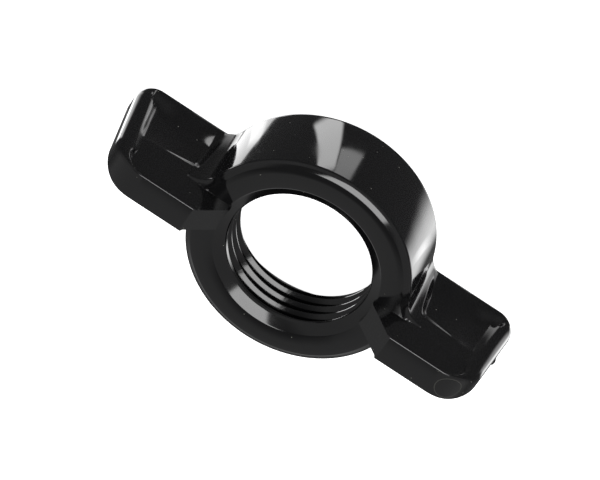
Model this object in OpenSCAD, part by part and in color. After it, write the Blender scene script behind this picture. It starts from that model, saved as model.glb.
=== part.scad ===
// Wing nut, moulded in one piece: a ring with a right-hand internal thread and two upright
// wings along X. Z = 0 is the flat bearing face. The wings rise above the ring's front face,
// which is on the +Z side. All sizes are in millimetres and all angles in degrees.

/* [Ring] */
// Outside diameter of the ring
ring_d = 31.7; // [26:0.1:40]
// Height of the ring, from its bearing face to its front face
ring_h = 12.5; // [10:0.1:16]
// Radius of the ring's front outer edge
front_edge_r = 1.9; // [0.4:0.1:2.4]
// Radius of the ring's back outer edge
back_edge_r = 0.9; // [0.2:0.1:1.2]

/* [Bore and thread] */
// Diameter of the bore, measured across the thread's crests
bore_d = 20.4; // [16:0.1:25]
// Distance between neighbouring crests
thread_pitch = 1.814; // [1.3:0.001:2.4]
// Part of the pitch that is left as crest
crest_part = 0.55; // [0.52:0.01:0.7]
// Depth of the thread groove, as a part of the pitch
groove_depth_part = 0.5; // [0.3:0.01:0.55]
// Angle between a thread flank and a plane across the axis
flank_angle = 15; // [10:1:18]
// Width of the bevel at the bore's front end, as a part of the ring's wall
bevel_part = 0.25; // [0.2:0.01:0.4]
// Angle between that bevel and the front face
bevel_angle = 32; // [25:1:50]
// Width of the deep countersink at the bore's back end, as a part of the ring's wall
sink_part = 0.67; // [0.3:0.01:0.75]
// Depth of that countersink, as a part of the ring's height
sink_depth_part = 0.39; // [0.2:0.01:0.5]

/* [Wings] */
// Distance from wing tip to wing tip
wing_span = 59.7; // [52:0.1:74]
// Height of the wings above the ring's front face
wing_rise = 5.1; // [3:0.1:8]
// Thickness of each wing
wing_t = 4.54; // [3.4:0.01:6]
// Radius of the tip's front corner
tip_front_r = 5.5; // [2:0.1:6.5]
// Radius of the tip's back corner
tip_back_r = 2.9; // [1:0.1:4]
// Lean of the tip, outwards towards the back
tip_lean = 5.5; // [0:0.5:8]
// Slope of the ramp that leads from the ring up to the wing's front edge
ramp_angle = 45; // [35:1:60]
// Radius of the hollow between a wing and the ring's side
root_r = 3.3; // [1:0.1:4]
// Depth of the finger dish in each side of a wing
dish_depth = 0.5; // [0.2:0.05:0.8]
// Diameter of that dish, as a part of the flat's width
dish_part = 0.85; // [0.5:0.01:0.95]

/* [Hidden] */
$fn = 96;

// how far a cut runs past the surface it opens
past = 1;
// straight pieces in one turn of the thread, and how far its cutter reaches into the bore
turn_steps = 36;
groove_in = 0.4;
// plain wall between the groove's end and the bevel, as a part of the pitch
front_land = 0.2;
// how far inside the ring's side a ramp reaches full height
ramp_inset = 0.3;
// how far a root hollow cuts past the two surfaces it leads into, so that it crosses them
root_past = 0.02;

ring_r = ring_d / 2;
bore_r = bore_d / 2;
wall = ring_r - bore_r;
bevel_w = bevel_part * wall;
bevel_h = bevel_w * tan(bevel_angle);
bevel_r = bore_r + bevel_w;
sink_w = sink_part * wall;
sink_h = sink_depth_part * ring_h;
// each edge radius leaves some flat on its face
front_r = min(front_edge_r, 0.8 * (wall - bevel_w));
back_r = min(back_edge_r, 0.8 * (wall - sink_w));

wing_top = ring_h + wing_rise;
ramp_top_x = ring_r - ramp_inset;
ramp_foot_x = ramp_top_x - wing_rise / tan(ramp_angle);
// centres of the two tip corners, in the wing's own X and Z
back_c = [wing_span / 2 - tip_back_r, tip_back_r];
front_c_z = wing_top - tip_front_r;
front_c_drop = (front_c_z - back_c[1]) * sin(tip_lean);
front_c = [back_c[0] + (tip_back_r - tip_front_r - front_c_drop) / cos(tip_lean), front_c_z];
tip_normal = [cos(tip_lean), sin(tip_lean)];

// centre of the root hollow, which leads from the wing's side into the ring's side
root_c_y = wing_t / 2 + root_r;
root_c_x = sqrt(pow(ring_r + root_r, 2) - pow(root_c_y, 2));
root_angle = atan2(root_c_y, root_c_x);
root_h = ring_h - front_r;

// the dish is cut by a large ball
flat_w = wing_span / 2 - root_c_x;
dish_r = dish_part * flat_w / 2;
dish_ball_r = (pow(dish_r, 2) + pow(dish_depth, 2)) / (2 * dish_depth);
dish_x = root_c_x + flat_w / 2 - (flat_w / 2 - dish_r) / 2;
dish_y = wing_t / 2 - dish_depth + dish_ball_r;
dish_z = wing_top / 2;

// the groove opens into the countersink, and ends blunt a little below the bevel
groove_depth = groove_depth_part * thread_pitch;
groove_r = bore_r + groove_depth;
groove_w = (1 - crest_part) * thread_pitch;
groove_z0 = sink_h * (1 - groove_depth / sink_w) - thread_pitch / 2;
groove_z1 = ring_h - bevel_h - groove_w / 2 - front_land * thread_pitch;
groove_steps = ceil((groove_z1 - groove_z0) / thread_pitch * turn_steps);

module ring_profile() {
    difference() {
        square([ring_r, ring_h]);
        edge_cut(ring_r, 0, back_r, 1);
        edge_cut(ring_r, ring_h, front_r, -1);
    }
}

// takes the square corner at (x, y) back to a quarter circle, into the side given by dir
module edge_cut(x, y, r, dir) {
    difference() {
        translate([x - r, dir > 0 ? y - past : y - r])
            square([r + past, r + past]);
        translate([x - r, y + dir * r])
            circle(r = r);
    }
}

module ring() {
    rotate_extrude()
        ring_profile();
}

module wing_outline() {
    polygon([
        [0, 0],
        [back_c[0], 0],
        back_c + tip_back_r * tip_normal,
        front_c + tip_front_r * tip_normal,
        [front_c[0], wing_top],
        [ramp_top_x, wing_top],
        [ramp_foot_x, ring_h],
        [0, ring_h]
    ]);
    translate(back_c)
        circle(r = tip_back_r);
    translate(front_c)
        circle(r = tip_front_r);
}

module dish(side) {
    translate([dish_x, side * dish_y, dish_z])
        sphere(r = dish_ball_r, $fn = 200);
}

module wing_blade() {
    difference() {
        translate([0, wing_t / 2, 0])
            rotate([90, 0, 0])
                linear_extrude(wing_t)
                    wing_outline();
        dish(1);
        dish(-1);
    }
}

// fills the corner between a wing and the ring's side up to the root hollow
module root_fill(side) {
    linear_extrude(root_h)
        difference() {
            polygon([
                [0, 0],
                [ring_r * cos(root_angle), side * ring_r * sin(root_angle)],
                [root_c_x, side * root_c_y],
                [root_c_x, 0]
            ]);
            translate([root_c_x, side * root_c_y])
                circle(r = root_r + root_past);
        }
}

module wing() {
    wing_blade();
    root_fill(1);
    root_fill(-1);
}

// everything that is open inside the ring, and above it between the ramps
module bore_space() {
    translate([0, 0, -past])
        cylinder(r = bore_r, h = wing_top + 2 * past);
    translate([0, 0, -past])
        cylinder(r1 = bore_r + sink_w * (1 + past / sink_h), r2 = bore_r, h = sink_h + past);
    translate([0, 0, ring_h - bevel_h])
        cylinder(r1 = bore_r, r2 = bevel_r, h = bevel_h);
    translate([0, 0, ring_h])
        cylinder(r = bevel_r, h = wing_rise + past);
}

function on_helix(i, r, dz) =
    let (turn = 360 * i / turn_steps)
    [r * cos(turn), r * sin(turn), groove_z0 + thread_pitch * i / turn_steps + dz];

// one right-hand helical groove, four corners per step, rising anticlockwise
module thread_groove() {
    slope = tan(flank_angle);
    half_in = groove_w / 2 + groove_in * slope;
    half_out = groove_w / 2 - groove_depth * slope;
    points = [
        for (i = [0:groove_steps])
            each [
                on_helix(i, bore_r - groove_in, -half_in),
                on_helix(i, groove_r, -half_out),
                on_helix(i, groove_r, half_out),
                on_helix(i, bore_r - groove_in, half_in)
            ]
    ];
    last = 4 * groove_steps;
    sides = [
        for (i = [0:groove_steps - 1], k = [0:3])
            let (a = 4 * i + k, b = 4 * i + (k + 1) % 4)
            each [[a, b, b + 4], [a, b + 4, a + 4]]
    ];
    ends = [[0, 3, 2], [0, 2, 1], [last, last + 1, last + 2], [last, last + 2, last + 3]];
    polyhedron(points = points, faces = concat(sides, ends), convexity = 10);
}

module wing_nut() {
    color("#131313")
        difference() {
            union() {
                ring();
                wing();
                rotate([0, 0, 180])
                    wing();
            }
            bore_space();
            thread_groove();
        }
}

wing_nut();
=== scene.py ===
"""Wing nut: one glossy black moulding, a ring with a right-hand internal thread and two wings.

Lengths below are millimetres. The finished piece is scaled once to metres, in the CAD frame:
Z = 0 is the bearing face, the wings lie along X and rise above the ring's front face.
"""
import math

import bpy
from mathutils import Matrix, Vector


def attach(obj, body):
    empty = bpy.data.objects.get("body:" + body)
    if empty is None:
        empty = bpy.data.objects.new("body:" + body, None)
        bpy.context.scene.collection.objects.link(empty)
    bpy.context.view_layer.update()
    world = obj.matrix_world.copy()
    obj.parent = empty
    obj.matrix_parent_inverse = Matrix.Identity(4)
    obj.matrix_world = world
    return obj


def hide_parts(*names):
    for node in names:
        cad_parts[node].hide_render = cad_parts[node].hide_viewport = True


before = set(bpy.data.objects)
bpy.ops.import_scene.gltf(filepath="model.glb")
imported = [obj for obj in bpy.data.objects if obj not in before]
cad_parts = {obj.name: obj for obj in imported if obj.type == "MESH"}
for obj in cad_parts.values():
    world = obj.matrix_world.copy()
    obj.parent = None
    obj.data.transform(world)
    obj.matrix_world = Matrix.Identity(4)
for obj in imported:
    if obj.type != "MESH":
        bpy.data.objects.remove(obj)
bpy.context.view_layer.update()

MM = 0.001

# ring: outside radius, height, radius of its back outer edge
RING_R = 15.85
RING_H = 12.5
BACK_ROUND = 0.9
BACK_ROUND_STEPS = 8
# bore across the crests, the bevel at its front end, the countersink's width and depth at its back
BORE_R = 10.2
BEVEL_IN_R = 10.35
BEVEL_OUT_R = 11.8
BEVEL_H = 0.9
SINK_W = 3.75
SINK_H = 4.85
# the ring's front edge from its side to its front face, as radius and height: two small radii
# with facets between
FRONT_EDGE = [
    (15.85, 11.45), (15.84, 11.62), (15.79, 11.78), (15.71, 11.93), (15.60, 12.05), (15.46, 12.14),
    (15.04, 12.355), (14.94, 12.40), (14.82, 12.43), (14.25, 12.492), (14.05, 12.50),
]

# thread, 7/8 inch with 14 turns to the inch; the groove's first turn is centred on THREAD_START
PITCH = 25.4 / 14
THREAD_DEPTH = 0.95
THREAD_FLANK = math.radians(30)
CREST_FLAT = 0.16
THREAD_START = 1.535
THREAD_TURNS = 5.05
STEPS_PER_TURN = 96
# how far the groove's cutter reaches into the open bore
GROOVE_REACH = 0.5

# wings: reach of a tip from the axis, height of the front edge, half thickness, lean and corners
# of the tip, where the 45 degree ramp ends, radius of the hollow at the root
TIP_X = 29.84
WING_TOP = 17.6
HALF_T = 2.27
TIP_LEAN = math.radians(5.5)
TIP_FRONT_R = 5.5
TIP_BACK_R = 2.9
RAMP_TOP_X = 15.54
ROOT_R = 3.3
# half thickness that the root hollow leads into
FOOT_T = 2.05
# below the front face a wing starts inside the ring at WING_INNER_X; above it the ramp's foot is
# cut back to FOOT_R, by a cylinder that reaches FOOT_SINK below the face
WING_INNER_X = 13.5
FOOT_R = 11.5
FOOT_SINK = 0.14
FOOT_CUT_H = 20
# finger scoop: its upper edge, its depth, and where its full depth ends and where it has run out
SCOOP_TOP = 9.55
SCOOP_DEPTH = 0.8
SCOOP_FULL_X = 17.9
SCOOP_END_X = 23
# thumb dip: its crease and its depth
DIP_TOP = 9.7
DIP_DEPTH = 0.38
# stub of the gate on one tip: its middle and its half sizes
GATE_PLACE = (29.42, 0, 7)
GATE_SIZE = (0.28, 0.55, 0.75)

SEGMENTS = 256
MERGE = 1e-5
SMOOTH_ANGLE = math.radians(24)


# ---------------------------------------------------------------- modelling helpers


def object_mode():
    if bpy.context.object and bpy.context.object.mode != "OBJECT":
        bpy.ops.object.mode_set(mode="OBJECT")


def clear_selection():
    object_mode()
    bpy.ops.object.select_all(action="DESELECT")


def edit(obj):
    clear_selection()
    obj.select_set(True)
    bpy.context.view_layer.objects.active = obj
    bpy.ops.object.mode_set(mode="EDIT")
    bpy.ops.mesh.select_mode(type="VERT")
    bpy.ops.mesh.select_all(action="SELECT")


def draw_outline(name, points):
    """A chain of edges drawn from point to point by extruding one vertex."""
    clear_selection()
    bpy.ops.mesh.primitive_plane_add(size=1, location=(0, 0, 0))
    obj = bpy.context.object
    obj.name = name
    edit(obj)
    bpy.ops.mesh.merge(type="CENTER")
    here = Vector(points[0])
    bpy.ops.transform.translate(value=here)
    for point in points[1:]:
        step = Vector(point) - here
        bpy.ops.mesh.extrude_region_move(TRANSFORM_OT_translate={"value": step})
        here = Vector(point)
    return obj


def close_outline():
    """Join the outline's last point to its first, and leave all of it selected."""
    bpy.ops.mesh.select_all(action="SELECT")
    bpy.ops.mesh.remove_doubles(threshold=MERGE)
    bpy.ops.mesh.select_all(action="SELECT")


def boolean(target, tool, operation):
    """Cut the tool from the target, or join it on, and remove the tool."""
    clear_selection()
    target.select_set(True)
    bpy.context.view_layer.objects.active = target
    modifier = target.modifiers.new("cut", "BOOLEAN")
    modifier.object = tool
    modifier.operation = operation
    modifier.solver = "EXACT"
    bpy.ops.object.modifier_apply(modifier=modifier.name)
    bpy.data.objects.remove(tool)


def outward(obj):
    """Merge what coincides and turn every face outwards."""
    edit(obj)
    bpy.ops.mesh.remove_doubles(threshold=1e-4)
    bpy.ops.mesh.normals_make_consistent(inside=False)
    object_mode()


# ---------------------------------------------------------------- ring


def ring_section():
    """Outline of the ring's cross-section in radius and height, its bore edges slightly eased."""
    points = [
        (BORE_R, SINK_H + 0.2),
        (BORE_R + 0.1, SINK_H),
        (BORE_R + SINK_W, 0.12),
        (BORE_R + SINK_W + 0.15, 0),
    ]
    for i in range(BACK_ROUND_STEPS + 1):
        a = math.radians(90 * i / BACK_ROUND_STEPS)
        radius = RING_R - BACK_ROUND + BACK_ROUND * math.sin(a)
        points.append((radius, BACK_ROUND - BACK_ROUND * math.cos(a)))
    points += FRONT_EDGE
    points += [
        (BEVEL_OUT_R + 0.1, RING_H),
        (BEVEL_OUT_R - 0.02, RING_H - 0.03),
        (BEVEL_OUT_R - 0.12, RING_H - 0.1),
        (BEVEL_IN_R + 0.08, RING_H - BEVEL_H + 0.05),
        (BEVEL_IN_R - 0.05, RING_H - BEVEL_H - 0.06),
        (BORE_R, RING_H - BEVEL_H - 0.25),
    ]
    return [(r, 0, z) for r, z in points]


def make_ring():
    section = ring_section()
    ring = draw_outline("wing_nut_moulding", section + [section[0]])
    close_outline()
    bpy.ops.mesh.spin(
        steps=SEGMENTS, angle=2 * math.pi, center=(0, 0, 0), axis=(0, 0, 1), dupli=False
    )
    outward(ring)
    return ring


def cut_thread(ring):
    """One V groove wound up the bore, its narrow root outwards, blunt at its front end."""
    slope = math.tan(THREAD_FLANK)
    mouth = (PITCH - CREST_FLAT) / 2
    root = mouth - THREAD_DEPTH * slope
    z0 = THREAD_START
    r_in, r_out = BORE_R - GROOVE_REACH, BORE_R + THREAD_DEPTH
    # the root's two corners are eased by a short facet each
    groove = draw_outline("thread_groove", [
        (r_in, 0, z0 - mouth - GROOVE_REACH * slope),
        (r_out - 0.04, 0, z0 - root - 0.03),
        (r_out, 0, z0 - root + 0.04),
        (r_out, 0, z0 + root - 0.04),
        (r_out - 0.04, 0, z0 + root + 0.03),
        (r_in, 0, z0 + mouth + GROOVE_REACH * slope),
        (r_in, 0, z0 - mouth - GROOVE_REACH * slope),
    ])
    close_outline()
    object_mode()
    wind = groove.modifiers.new("wind", "SCREW")
    wind.axis = "Z"
    wind.angle = 2 * math.pi * THREAD_TURNS
    wind.screw_offset = PITCH * THREAD_TURNS
    wind.steps = wind.render_steps = int(STEPS_PER_TURN * THREAD_TURNS)
    wind.use_merge_vertices = False
    bpy.ops.object.modifier_apply(modifier=wind.name)
    edit(groove)
    bpy.ops.mesh.remove_doubles(threshold=MERGE)
    bpy.ops.mesh.select_all(action="DESELECT")
    bpy.ops.mesh.select_non_manifold()
    bpy.ops.mesh.edge_face_add()
    outward(groove)
    boolean(ring, groove, "DIFFERENCE")


# ---------------------------------------------------------------- wings


# centres of the tip's two corners, in x and z; the leaning edge touches both corners
BACK_C = (TIP_X - TIP_BACK_R, TIP_BACK_R)
FRONT_CZ = WING_TOP - TIP_FRONT_R
LEAN_BACK = (FRONT_CZ - BACK_C[1]) * math.sin(TIP_LEAN)
FRONT_C = (BACK_C[0] + (TIP_BACK_R - TIP_FRONT_R - LEAN_BACK) / math.cos(TIP_LEAN), FRONT_CZ)
# centre of the hollow at the root, which touches the ring's side
ROOT_CY = FOOT_T + ROOT_R
ROOT_CX = math.sqrt((RING_R + ROOT_R) ** 2 - ROOT_CY**2)


def tip_x(z):
    """How far out the wing's edge is at height z."""
    front_z = FRONT_C[1] + TIP_FRONT_R * math.sin(TIP_LEAN)
    back_z = BACK_C[1] + TIP_BACK_R * math.sin(TIP_LEAN)
    if z > front_z:
        return FRONT_C[0] + math.sqrt(max(TIP_FRONT_R**2 - (z - FRONT_C[1]) ** 2, 0))
    if z < back_z:
        return BACK_C[0] + math.sqrt(max(TIP_BACK_R**2 - (z - BACK_C[1]) ** 2, 0))
    return BACK_C[0] + (TIP_BACK_R - (z - BACK_C[1]) * math.sin(TIP_LEAN)) / math.cos(TIP_LEAN)


def edge_distance(x, z):
    """Distance in from the wing's outline at (x, z), and what the nearest edge is.

    The second value goes from 0 on a straight edge to 1 where a corner meets the tip. The third
    says whether the edge is the back one.
    """
    nx, nz = math.cos(TIP_LEAN), math.sin(TIP_LEAN)
    d_tip = TIP_BACK_R - ((x - BACK_C[0]) * nx + (z - BACK_C[1]) * nz)
    d_front = WING_TOP - z
    fx, fz = x - FRONT_C[0], z - FRONT_C[1]
    if fx > 0 and fz > fx * math.tan(TIP_LEAN):
        turn = math.atan2(fx, fz) / (math.pi / 2 - TIP_LEAN)
        return TIP_FRONT_R - math.hypot(fx, fz), min(max(turn, 0), 1), False
    bx, bz = x - BACK_C[0], BACK_C[1] - z
    if bx > 0 and bz > 0:
        return TIP_BACK_R - math.hypot(bx, bz), min(math.atan2(bx, bz) / (math.pi / 2), 1), True
    if z < d_front and z < d_tip:
        return z, 0, True
    if d_front < d_tip:
        return d_front, 0, False
    return d_tip, 1, False


def smooth(t):
    """0 below t = 0, 1 above t = 1, and an S between."""
    t = min(max(t, 0), 1)
    return t * t * (3 - 2 * t)


def ring_shrink(z):
    """How far inside RING_R the ring's side is at height z."""
    if z < BACK_ROUND:
        return BACK_ROUND - math.sqrt(BACK_ROUND**2 - (BACK_ROUND - z) ** 2)
    if z <= FRONT_EDGE[0][1]:
        return 0
    for (r0, z0), (r1, z1) in zip(FRONT_EDGE, FRONT_EDGE[1:]):
        if z <= z1:
            return RING_R - (r0 + (r1 - r0) * (z - z0) / (z1 - z0))
    return RING_R - FRONT_EDGE[-1][0]


def scoop_depth(x, z):
    """The finger scoop behind SCOOP_TOP: deepest beside the root, run out by SCOOP_END_X."""
    if z >= SCOOP_TOP or x > SCOOP_END_X:
        return 0
    run_out = (SCOOP_END_X - max(x, SCOOP_FULL_X)) / (SCOOP_END_X - SCOOP_FULL_X)
    floor_depth = SCOOP_DEPTH * run_out**1.5
    lead_in = smooth(0.5 + 0.5 * (SCOOP_TOP - z) / (0.15 + 2.2 * floor_depth)) * 2 - 1
    root_wall = smooth((x - 16.2 - 0.12 * z) / 1.2)
    back_wall = smooth(z / 4.2)
    return floor_depth * lead_in * root_wall * back_wall


def thumb_dip(x, z):
    """A shallow dip for the thumb behind DIP_TOP, with a crease along its front."""
    t = min(max((DIP_TOP - z) / 3.6, 0), 1)
    bowl = DIP_DEPTH * (1 - (1 - t) ** 2)
    return bowl * smooth((x - 20) / 5) * smooth((27.2 - x) / 2.2) * smooth(z / 4)


def wing_side(x, z):
    """Half thickness of the wing at (x, z)."""
    d, turn, back = edge_distance(x, z)
    # the finger side sinks gently below the full thickness: not at the back edge, most at the tip
    out = min(max((x - 15) / 12, 0), 1)
    fade = smooth(z / (11 - 8 * out))
    plate = HALF_T - (0.25 + 0.6 * out) * fade
    if back:
        bead_w = 1.7 * smooth(turn)
        edge_r = 0.5 + 0.8 * smooth(turn)
    else:
        bead_w = 0.15 + 1.55 * smooth(turn)
        edge_r = 0.22 + 1.1 * smooth(turn * 1.3 - 0.25)
    # the wall between bead and finger side is a soft S
    sink_run = 0.25 + 1.5 * smooth(turn)
    y = HALF_T - (HALF_T - plate) * smooth((d - bead_w) / sink_run)
    if back and turn == 0:
        y = plate
    if d < edge_r:
        y = min(y, HALF_T - edge_r + math.sqrt(max(edge_r**2 - (edge_r - max(d, 0)) ** 2, 0)))
    # hollow at the root, following the ring's side and its rounded edges
    shrink = ring_shrink(z)
    if x < ROOT_CX and z < RING_H - 0.004:
        tangent_x = (RING_R - shrink) * ROOT_CX / (RING_R + ROOT_R)
        if x >= tangent_x:
            y = max(y, ROOT_CY - math.sqrt((ROOT_R + shrink) ** 2 - (ROOT_CX - x) ** 2))
        elif z < RING_H - 0.2 and x > tangent_x - 0.7:
            y = math.sqrt((RING_R - shrink - 0.015) ** 2 - x * x)
    return y - scoop_depth(x, z) - thumb_dip(x, z)


def wing_rows():
    """Heights of the wing's rows of points, from its front edge to its back."""
    front_steps, side_steps, back_steps = 29, 44, 14
    rows = []
    for i in range(front_steps + 1):
        angle = math.radians(84.5) * i / front_steps
        rows.append(FRONT_C[1] + TIP_FRONT_R * math.cos(angle))
    low = rows[-1]
    side_end = BACK_C[1] + TIP_BACK_R * math.sin(TIP_LEAN)
    for i in range(1, side_steps + 1):
        rows.append(low + (side_end - low) * i / side_steps)
    for i in range(1, back_steps + 1):
        angle = TIP_LEAN - (math.pi / 2 + TIP_LEAN) * i / back_steps
        rows.append(BACK_C[1] + TIP_BACK_R * math.sin(angle))
    rows[-1] = 0.0
    # rows that lie on the scoop's upper edge and on the bends of the ring's edge
    fixed = [SCOOP_TOP, SCOOP_TOP - 0.03, RING_H - 0.002, RING_H - 0.03]
    fixed += [z for _, z in FRONT_EDGE[:-2]]
    rows = [z for z in rows if min(abs(z - f) for f in fixed) > 0.03]
    return sorted(rows + fixed, reverse=True)


def wing_columns(z):
    """Where the points of the row at height z lie along X, closest together at root and tip."""
    root_steps, middle_steps, tip_steps = 56, 40, 34
    ramp_x = z - (WING_TOP - RAMP_TOP_X)
    start = WING_INNER_X if z < RING_H - 0.003 else ramp_x
    split = max(18.45, start + 0.5)
    end = tip_x(z)
    # the tip's own columns begin 3.2 mm in, or later in a row that is too short for that
    inner = end - 3.2 if end - 3.2 > split + 1 else split + (end - split) * 0.7
    columns = []
    for i in range(root_steps):
        columns.append(start + (split - start) * (i / root_steps))
    for i in range(middle_steps):
        columns.append(split + (inner - split) * i / middle_steps)
    for i in range(tip_steps + 1):
        t = math.sin(math.pi / 2 * i / tip_steps)
        columns.append(inner + (end - inner) * t)
    return columns


def make_wing(side):
    """One wing as a closed mesh: two faces laid out in rows, and a band that joins their rims.

    Its thickness follows a formula at every point, so the mesh is written point by point.
    """
    rows = wing_rows()
    verts, faces = [], []
    grids = []
    for face in (1, -1):
        grid = []
        for z in rows:
            line = []
            for x in wing_columns(z):
                verts.append((side * x, side * face * wing_side(x, z), z))
                line.append(len(verts) - 1)
            grid.append(line)
        grids.append(grid)
    n_rows, n_columns = len(rows), len(grids[0][0])
    for g, grid in enumerate(grids):
        for j in range(n_rows - 1):
            for i in range(n_columns - 1):
                quad = (grid[j][i], grid[j][i + 1], grid[j + 1][i + 1], grid[j + 1][i])
                faces.append(quad if g else quad[::-1])
    front, back = grids
    rim = [(0, i) for i in range(n_columns)] + [(j, n_columns - 1) for j in range(1, n_rows)]
    rim += [(n_rows - 1, i) for i in range(n_columns - 2, -1, -1)]
    rim += [(j, 0) for j in range(n_rows - 2, 0, -1)]
    for k, (j0, i0) in enumerate(rim):
        j1, i1 = rim[(k + 1) % len(rim)]
        faces.append((front[j0][i0], front[j1][i1], back[j1][i1], back[j0][i0]))
    mesh = bpy.data.meshes.new("wing")
    mesh.from_pydata(verts, [], faces)
    obj = bpy.data.objects.new("wing", mesh)
    bpy.context.scene.collection.objects.link(obj)
    outward(obj)
    return obj


def trim_wing_foot(wing):
    """Cut the ramp's foot back to FOOT_R, clear of the bore."""
    clear_selection()
    middle_z = RING_H - FOOT_SINK + FOOT_CUT_H / 2
    bpy.ops.mesh.primitive_cylinder_add(
        vertices=SEGMENTS, radius=FOOT_R, depth=FOOT_CUT_H, location=(0, 0, middle_z)
    )
    boolean(wing, bpy.context.object, "DIFFERENCE")


def add_gate(target):
    """The stub of the snapped-off gate, on one wing's tip."""
    clear_selection()
    bpy.ops.mesh.primitive_uv_sphere_add(
        segments=32, ring_count=16, radius=1, location=GATE_PLACE
    )
    gate = bpy.context.object
    edit(gate)
    bpy.ops.transform.resize(value=GATE_SIZE, center_override=GATE_PLACE)
    object_mode()
    boolean(target, gate, "UNION")


# ---------------------------------------------------------------- materials


def linear(hex_colour):
    """sRGB hex to linear RGBA."""
    out = []
    for i in (0, 2, 4):
        c = int(hex_colour[i + 1 : i + 3], 16) / 255
        out.append(c / 12.92 if c <= 0.04045 else ((c + 0.055) / 1.055) ** 2.4)
    return (*out, 1)


def add(tree, kind, settings=None, links=None):
    """One node with its settings and input links."""
    node = tree.nodes.new(kind)
    for key, value in (settings or {}).items():
        if isinstance(key, str) and hasattr(node, key):
            setattr(node, key, value)
        else:
            node.inputs[key].default_value = value
    for key, source in (links or {}).items():
        tree.links.new(source, node.inputs[key])
    return node


def glossy_black_plastic():
    """Black injection-moulded plastic: near-mirror gloss over a faintly wavy skin, a little dusty."""
    mat = bpy.data.materials.new("injection_moulded_gloss_black_plastic")
    mat.use_nodes = True
    tree = mat.node_tree
    shader = tree.nodes["Principled BSDF"]
    shader.inputs["IOR"].default_value = 1.53
    coords = add(tree, "ShaderNodeTexCoord").outputs["Object"]

    # handling wears the gloss unevenly, in patches a few millimetres wide
    patches = add(
        tree, "ShaderNodeTexNoise", {"Scale": 1 / (3.5 * MM), "Detail": 3.0}, {"Vector": coords}
    )
    wear = add(
        tree, "ShaderNodeMapRange",
        {"From Min": 0.35, "From Max": 0.75, "To Min": 0.07, "To Max": 0.15},
        {"Value": patches.outputs["Fac"]},
    )
    # specks of pale dust, in about half the cells of a 1.5 mm pattern
    cells = add(tree, "ShaderNodeTexVoronoi", {"Scale": 1 / (1.5 * MM)}, {"Vector": coords})
    speck = add(
        tree, "ShaderNodeMath", {"operation": "LESS_THAN", 1: 0.055},
        {0: cells.outputs["Distance"]},
    )
    cell_colour = add(tree, "ShaderNodeSeparateColor", links={"Color": cells.outputs["Color"]})
    chosen = add(
        tree, "ShaderNodeMath", {"operation": "GREATER_THAN", 1: 0.5},
        {0: cell_colour.outputs["Red"]},
    )
    dust = add(
        tree, "ShaderNodeMath", {"operation": "MULTIPLY"},
        {0: speck.outputs[0], 1: chosen.outputs[0]},
    )
    # witness ring of the ejector pin, a thin groove round an axis square to the front corner of
    # the +X wing, and only on the skin near the pin's own face
    pin_angle = math.radians(24.3)
    pin_axis = (math.sin(pin_angle), 0, math.cos(pin_angle))
    corner = (FRONT_C[0], 0, FRONT_C[1])
    pin_place = tuple(MM * (c + TIP_FRONT_R * a) for c, a in zip(corner, pin_axis))
    pin_r, pin_line, pin_below = 1.8 * MM, 0.07 * MM, 0.36 * MM
    pin = add(
        tree, "ShaderNodeVectorMath", {"operation": "SUBTRACT", 1: pin_place}, {0: coords}
    )
    off_axis = add(
        tree, "ShaderNodeVectorMath", {"operation": "CROSS_PRODUCT", 1: pin_axis},
        {0: pin.outputs[0]},
    )
    ring_r = add(
        tree, "ShaderNodeVectorMath", {"operation": "LENGTH"}, {0: off_axis.outputs[0]}
    )
    groove = add(
        tree, "ShaderNodeMath", {"operation": "COMPARE", 1: pin_r, 2: pin_line},
        {0: ring_r.outputs["Value"]},
    )
    along = add(
        tree, "ShaderNodeVectorMath", {"operation": "DOT_PRODUCT", 1: pin_axis},
        {0: pin.outputs[0]},
    )
    on_front = add(
        tree, "ShaderNodeMath", {"operation": "GREATER_THAN", 1: -pin_below},
        {0: along.outputs["Value"]},
    )
    mark = add(
        tree, "ShaderNodeMath", {"operation": "MULTIPLY"},
        {0: groove.outputs[0], 1: on_front.outputs[0]},
    )
    # dust and, more faintly, the ring are paler and duller than the skin
    faint = add(tree, "ShaderNodeMath", {"operation": "MULTIPLY", 1: 0.3}, {0: mark.outputs[0]})
    pale = add(
        tree, "ShaderNodeMath", {"operation": "MAXIMUM"},
        {0: dust.outputs[0], 1: faint.outputs[0]},
    )
    colour = add(tree, "ShaderNodeMix", {"data_type": "RGBA"}, {"Factor": pale.outputs[0]})
    colour.inputs["A"].default_value = linear("#0C0C0D")
    colour.inputs["B"].default_value = linear("#565650")
    tree.links.new(colour.outputs["Result"], shader.inputs["Base Color"])
    dull = add(tree, "ShaderNodeMath", {"operation": "MULTIPLY", 1: 0.4}, {0: pale.outputs[0]})
    rough = add(
        tree, "ShaderNodeMath", {"operation": "ADD"}, {0: wear.outputs[0], 1: dull.outputs[0]}
    )
    tree.links.new(rough.outputs[0], shader.inputs["Roughness"])

    # moulded skin: shallow waves about 6 mm long, which bend long reflections
    wave = add(
        tree, "ShaderNodeTexNoise", {"Scale": 1 / (6 * MM), "Detail": 1.0}, {"Vector": coords}
    )
    skin = add(
        tree, "ShaderNodeBump", {"Strength": 0.12, "Distance": 0.3 * MM},
        {"Height": wave.outputs["Fac"]},
    )
    witness = add(
        tree, "ShaderNodeBump", {"Strength": 1.0, "Distance": 0.12 * MM},
        {"Height": mark.outputs[0], "Normal": skin.outputs["Normal"]},
    )
    tree.links.new(witness.outputs["Normal"], shader.inputs["Normal"])
    return mat


def pale_paper():
    """White paper sweep under the piece: matt, and so bright that no shadow shows on it."""
    mat = bpy.data.materials.new("pale_paper_sweep")
    mat.use_nodes = True
    shader = mat.node_tree.nodes["Principled BSDF"]
    shader.inputs["Base Color"].default_value = linear("#F4F4F4")
    shader.inputs["Roughness"].default_value = 0.9
    shader.inputs["Emission Color"].default_value = linear("#FFFFFF")
    shader.inputs["Emission Strength"].default_value = 1.0
    return mat


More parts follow.
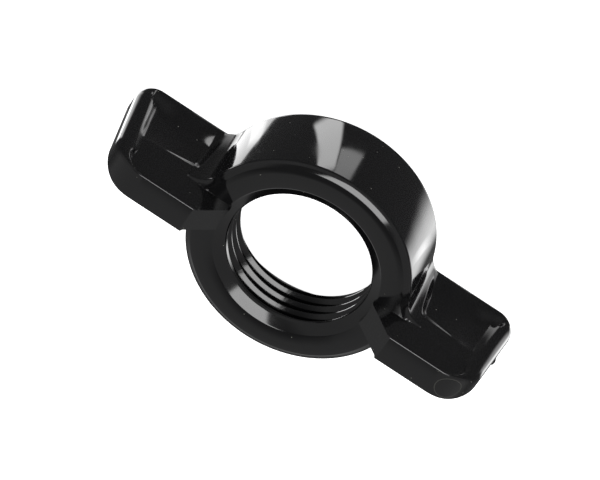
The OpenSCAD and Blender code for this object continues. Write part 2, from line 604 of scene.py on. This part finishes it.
# ---------------------------------------------------------------- build the moulding

moulding = make_ring()
cut_thread(moulding)
for side in (1, -1):
    wing = make_wing(side)
    trim_wing_foot(wing)
    boolean(moulding, wing, "UNION")
add_gate(moulding)

clear_selection()
moulding.select_set(True)
bpy.context.view_layer.objects.active = moulding
moulding.scale = (MM, MM, MM)
bpy.ops.object.transform_apply(location=True, rotation=True, scale=True)
bpy.ops.object.shade_smooth_by_angle(angle=SMOOTH_ANGLE)
moulding.data.materials.clear()
moulding.data.materials.append(glossy_black_plastic())

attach(moulding, "root")
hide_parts("wing_nut")

# ---------------------------------------------------------------- studio

# camera: the point it is set out from, its three axes, its distance in metres, its lens
AIM = Vector((0, 0, 11.592)) * MM
VIEW = Vector((-0.05216195, 0.63041585, 0.77450306))
RIGHT = Vector((0.83613321, 0.45163416, -0.31130025))
UP = Vector((-0.54604065, 0.6313497, -0.55066974))
CAMERA_DISTANCE = 0.966
SENSOR_WIDTH = 36
LENS = 436.8
SHIFT = (0.00267, 0.0322)
# the floor lies a hair under the bearing face, and the low panels under the floor
FLOOR_SIZE = 6
FLOOR_Z = -0.00002
PANEL_Z = -6
SOFTBOX_DISTANCE = 0.6


def place_camera():
    data = bpy.data.cameras.new("camera")
    camera = bpy.data.objects.new("camera", data)
    bpy.context.scene.collection.objects.link(camera)
    basis = Matrix((RIGHT, UP, VIEW)).transposed()
    camera.matrix_world = Matrix.Translation(AIM + CAMERA_DISTANCE * VIEW) @ basis.to_4x4()
    data.sensor_width = SENSOR_WIDTH
    data.lens = LENS
    data.shift_x, data.shift_y = SHIFT
    data.clip_start = 0.01
    data.clip_end = 50
    bpy.context.scene.camera = camera
    bpy.context.scene.view_settings.view_transform = "Standard"


def soft_edges(data, soft_u, soft_v):
    """Fade an area light towards its edges, over the given parts of its width and height."""
    data.use_nodes = True
    tree = data.node_tree
    surface = add(tree, "ShaderNodeNewGeometry")
    place = add(tree, "ShaderNodeSeparateXYZ", links={"Vector": surface.outputs["Parametric"]})
    fades = []
    for axis, soft in (("X", soft_u), ("Y", soft_v)):
        offset = add(
            tree, "ShaderNodeMath", {"operation": "SUBTRACT", 1: 0.5}, {0: place.outputs[axis]}
        )
        away = add(tree, "ShaderNodeMath", {"operation": "ABSOLUTE"}, {0: offset.outputs[0]})
        fades.append(add(
            tree, "ShaderNodeMapRange",
            {"interpolation_type": "SMOOTHSTEP", "From Min": 0.5, "From Max": 0.5 - soft},
            {"Value": away.outputs[0]},
        ))
    strength = add(
        tree, "ShaderNodeMath", {"operation": "MULTIPLY"},
        {0: fades[0].outputs[0], 1: fades[1].outputs[0]},
    )
    tree.links.new(strength.outputs[0], tree.nodes["Emission"].inputs["Strength"])


def softbox(
    name, azimuth, elevation, width, height, power, distance=SOFTBOX_DISTANCE, soft=(0.1, 0.1)
):
    """An area light that the piece reflects from the given direction, in degrees and metres."""
    a, e = math.radians(azimuth), math.radians(elevation)
    way = Vector((math.cos(a) * math.cos(e), math.sin(a) * math.cos(e), math.sin(e)))
    data = bpy.data.lights.new(name, "AREA")
    data.shape = "RECTANGLE"
    data.size, data.size_y = width, height
    # so that power is how bright the box looks, whatever its size
    data.energy = power * width * height * math.pi
    soft_edges(data, *soft)
    box = bpy.data.objects.new(name, data)
    box.location = way * distance
    box.rotation_euler = way.to_track_quat("Z", "Y").to_euler()
    bpy.context.scene.collection.objects.link(box)
    return box


def low_panel(name, x, y, width, depth, power, soft):
    """A small panel lying just under the floor beside the piece, seen only in its nearest sides."""
    panel = softbox(name, 90, 0, width * MM, depth * MM, power, soft=soft)
    panel.location = Vector((x, y, PANEL_Z)) * MM
    panel.rotation_euler = (math.pi, 0, 0)


def light_room():
    """Pale behind the piece; where the piece mirrors it, dim above and nearly dark below."""
    world = bpy.data.worlds.new("studio")
    bpy.context.scene.world = world
    world.use_nodes = True
    tree = world.node_tree
    sight = add(tree, "ShaderNodeTexCoord")
    ray = add(tree, "ShaderNodeSeparateXYZ", links={"Vector": sight.outputs["Generated"]})
    up_down = add(
        tree, "ShaderNodeMapRange",
        {
            "interpolation_type": "SMOOTHSTEP", "From Min": -0.35, "From Max": 0.15,
            "To Min": 0.11, "To Max": 0.38,
        },
        {"Value": ray.outputs["Z"]},
    )
    # the ceiling is darker than the walls
    ceiling = add(
        tree, "ShaderNodeMapRange",
        {
            "interpolation_type": "SMOOTHSTEP", "From Min": 0.79, "From Max": 0.9,
            "To Min": 1, "To Max": 0.3,
        },
        {"Value": ray.outputs["Z"]},
    )
    room = add(
        tree, "ShaderNodeMath", {"operation": "MULTIPLY"},
        {0: up_down.outputs[0], 1: ceiling.outputs[0]},
    )
    light_path = add(tree, "ShaderNodeLightPath")
    level = add(
        tree, "ShaderNodeMapRange", {"From Min": 0, "From Max": 1, "To Max": 0.95},
        {"Value": light_path.outputs["Is Camera Ray"], "To Min": room.outputs[0]},
    )
    background = tree.nodes["Background"]
    background.inputs["Color"].default_value = (1, 1, 1, 1)
    tree.links.new(level.outputs[0], background.inputs["Strength"])


place_camera()

clear_selection()
bpy.ops.mesh.primitive_plane_add(size=FLOOR_SIZE, location=(0, 0, FLOOR_Z))
floor = bpy.context.object
floor.name = "floor"
floor.data.materials.append(pale_paper())
floor.visible_glossy = False

softbox("strip_left", -144, -51, 0.25, 0.3, 3.4, soft=(0.06, 0.1))
softbox("wide_right", -17, -51, 0.42, 0.3, 3.0, soft=(0.4, 0.1))
softbox("overhead", 60, 70, 0.8, 0.8, 7.0, 1.2)
softbox("front_low", -85, 16, 1.3, 0.5, 1.1, 1.0, soft=(0.3, 0.5))

low_panel("far_side_bright", -10.5, 23.5, 7, 15, 5.5, (0.12, 0.1))
low_panel("far_side_dim", -4.0, 28.5, 8, 10, 2.4, (0.1, 0.12))
low_panel("under_left_wing", -20, 4.3, 9, 4.4, 1.8, (0.4, 0.2))
low_panel("under_right_wing", 23, 4.8, 9, 3.4, 1.5, (0.4, 0.2))
low_panel("glow_left_tip", -42, -3, 17, 22, 4.0, (0.15, 0.3))
low_panel("glow_right_tip", 42, 3, 17, 22, 2.5, (0.3, 0.3))

light_room()
